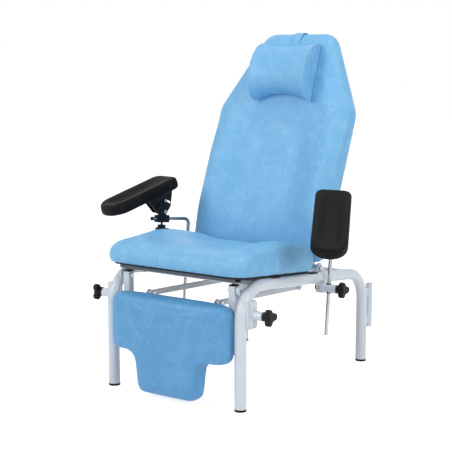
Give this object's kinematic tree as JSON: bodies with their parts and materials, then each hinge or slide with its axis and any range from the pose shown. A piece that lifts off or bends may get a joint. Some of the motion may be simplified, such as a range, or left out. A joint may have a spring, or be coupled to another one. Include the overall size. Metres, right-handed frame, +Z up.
{
  "type": "phlebotomy chair",
  "caption": "Reclining phlebotomy chair with sky-blue vinyl cushions, white tube frame, coupled leg section and two adjustable black arm supports on chrome rods",
  "frame": {"origin": "On the floor, under the middle of the whole outline with the arm supports as they stand", "axes": "+Z up, the sitter faces -Y, +X towards the arm support that is turned further out"},
  "size_m": [0.9892, 0.93, 1.2229],
  "materials": {
    "white_frame": "powder coated",
    "blue_vinyl": "smooth wipe-clean vinyl, satin",
    "black_plastic": "moulded, lightly textured",
    "black_board": "board with a dark lining",
    "grey_bar": "dark grey coating",
    "black_steel": "black powder coating",
    "black_foam": "skinned foam, satin",
    "chrome": "polished plating",
    "zinc": "zinc plated"
  },
  "bodies": {
    "chair": {"side_frame_left": "white_frame", "side_frame_right": "white_frame", "foot_caps": "black_plastic", "front_cross_tube": "white_frame", "rear_cross_tube": "white_frame", "seat_rests": "black_plastic", "seat_front_bar": "grey_bar", "seat_board": "black_board", "seat_cushion": "blue_vinyl", "drip_stand_socket": "white_frame", "leg_pivot_bolts": "zinc", "back_pivot_bolts": "zinc", "arm_socket_left": "white_frame", "arm_socket_right": "white_frame", "arm_socket_plugs": "black_plastic", "leg_socket_left": "white_frame", "leg_socket_right": "white_frame", "socket_screws": "zinc"},
    "back": {"back_frame": "white_frame", "back_board": "black_board", "back_cushion": "blue_vinyl", "head_strap": "blue_vinyl", "upright_plugs": "black_plastic", "lever_bolts": "zinc"},
    "pillow": {"head_pillow": "blue_vinyl"},
    "leg": {"leg_frame": "white_frame", "leg_post_plugs": "black_plastic", "leg_board": "black_board", "leg_cushion": "blue_vinyl", "leg_ear_bolts": "zinc"},
    "links": {"sync_link_left": "white_frame", "sync_link_right": "white_frame"},
    "swivel_left": {"rod_bush_left": "black_plastic"},
    "arm_left": {"arm_rod_left": "chrome", "rod_cap_left": "black_plastic"},
    "carrier_left": {"carriage_left": "black_steel", "yoke_left": "black_steel", "yoke_pin_left": "zinc"},
    "support_left": {"gutter_bracket_left": "black_steel", "gutter_bolt_left": "zinc", "arm_gutter_left": "black_foam"},
    "carriage_knob_left_body": {"carriage_knob_left": "black_plastic"},
    "arm_knob_left_body": {"arm_socket_knob_left": "black_plastic"},
    "leg_knob_left_body": {"leg_socket_knob_left": "black_plastic"},
    "swivel_right": {"rod_bush_right": "black_plastic"},
    "arm_right": {"arm_rod_right": "chrome", "rod_cap_right": "black_plastic"},
    "carrier_right": {"carriage_right": "black_steel", "yoke_right": "black_steel", "yoke_pin_right": "zinc"},
    "support_right": {"gutter_bracket_right": "black_steel", "gutter_bolt_right": "zinc", "arm_gutter_right": "black_foam"},
    "carriage_knob_right_body": {"carriage_knob_right": "black_plastic"},
    "arm_knob_right_body": {"arm_socket_knob_right": "black_plastic"},
    "leg_knob_right_body": {"leg_socket_knob_right": "black_plastic"}
  },
  "joints": [
    {"name": "back_recline", "type": "hinge", "parent": "chair", "child": "back", "pos_m": [-0.043, 0.1255, 0.392], "axis": [-1, 0, 0], "range_deg": [0, 45]},
    {"name": "leg_lift", "type": "hinge", "parent": "chair", "child": "leg", "pos_m": [-0.043, -0.3665, 0.39], "axis": [-1, 0, 0], "range_deg": [0, 61.65]},
    {"name": "link_turn", "type": "hinge", "parent": "leg", "child": "links", "pos_m": [-0.043, -0.3405, 0.333], "axis": [1, 0, 0], "range_deg": [0, 62.21]},
    {"name": "pillow_height", "type": "slide", "parent": "back", "child": "pillow", "axis": [0, 0.3697, 0.9291], "range_m": [-0.06, 0.04]},
    {"name": "arm_swing_left", "type": "hinge", "parent": "chair", "child": "swivel_left", "pos_m": [-0.358, 0.07744, 0.33365], "axis": [0, -0.0933, -0.9956], "range_deg": [-5, 80]},
    {"name": "arm_height_left", "type": "slide", "parent": "swivel_left", "child": "arm_left", "axis": [0, 0.0933, 0.9956], "range_m": [-0.04, 0.14]},
    {"name": "support_reach_left", "type": "slide", "parent": "arm_left", "child": "carrier_left", "axis": [-0.225, -0.9701, 0.0909], "range_m": [-0.02, 0.015]},
    {"name": "support_tilt_left", "type": "hinge", "parent": "carrier_left", "child": "support_left", "pos_m": [-0.38679, -0.02631, 0.56333], "axis": [0.9744, -0.224, 0.021], "range_deg": [-42, 30]},
    {"name": "carriage_knob_turn_left", "type": "hinge", "parent": "carrier_left", "child": "carriage_knob_left_body", "pos_m": [-0.38679, -0.0306, 0.51753], "axis": [0, 0.0933, 0.9956], "continuous": true},
    {"name": "arm_knob_turn_left", "type": "hinge", "parent": "chair", "child": "arm_knob_left_body", "pos_m": [-0.39, 0.07744, 0.33365], "axis": [-1, 0, 0], "continuous": true},
    {"name": "leg_knob_turn_left", "type": "hinge", "parent": "chair", "child": "leg_knob_left_body", "pos_m": [-0.38, -0.3645, 0.316], "axis": [-1, 0, 0], "continuous": true},
    {"name": "arm_swing_right", "type": "hinge", "parent": "chair", "child": "swivel_right", "pos_m": [0.272, 0.07744, 0.33365], "axis": [0, 0.0933, 0.9956], "range_deg": [-21, 64]},
    {"name": "arm_height_right", "type": "slide", "parent": "swivel_right", "child": "arm_right", "axis": [0, 0.0933, 0.9956], "range_m": [-0.04, 0.14]},
    {"name": "support_reach_right", "type": "slide", "parent": "arm_right", "child": "carrier_right", "axis": [0.4848, -0.8708, 0.0816], "range_m": [-0.02, 0.015]},
    {"name": "support_tilt_right", "type": "hinge", "parent": "carrier_right", "child": "support_right", "pos_m": [0.33406, -0.0136, 0.56214], "axis": [0.8746, 0.4827, -0.0452], "range_deg": [-58, 14]},
    {"name": "carriage_knob_turn_right", "type": "hinge", "parent": "carrier_right", "child": "carriage_knob_right_body", "pos_m": [0.33406, -0.01789, 0.51634], "axis": [0, 0.0933, 0.9956], "continuous": true},
    {"name": "arm_knob_turn_right", "type": "hinge", "parent": "chair", "child": "arm_knob_right_body", "pos_m": [0.304, 0.07744, 0.33365], "axis": [1, 0, 0], "continuous": true},
    {"name": "leg_knob_turn_right", "type": "hinge", "parent": "chair", "child": "leg_knob_right_body", "pos_m": [0.294, -0.3645, 0.316], "axis": [1, 0, 0], "continuous": true}
  ],
  "couplings": [
    {"joint": "leg_lift", "follows": "back_recline", "ratio": 1.37},
    {"joint": "link_turn", "follows": "back_recline", "ratio": 1.3825}
  ]
}
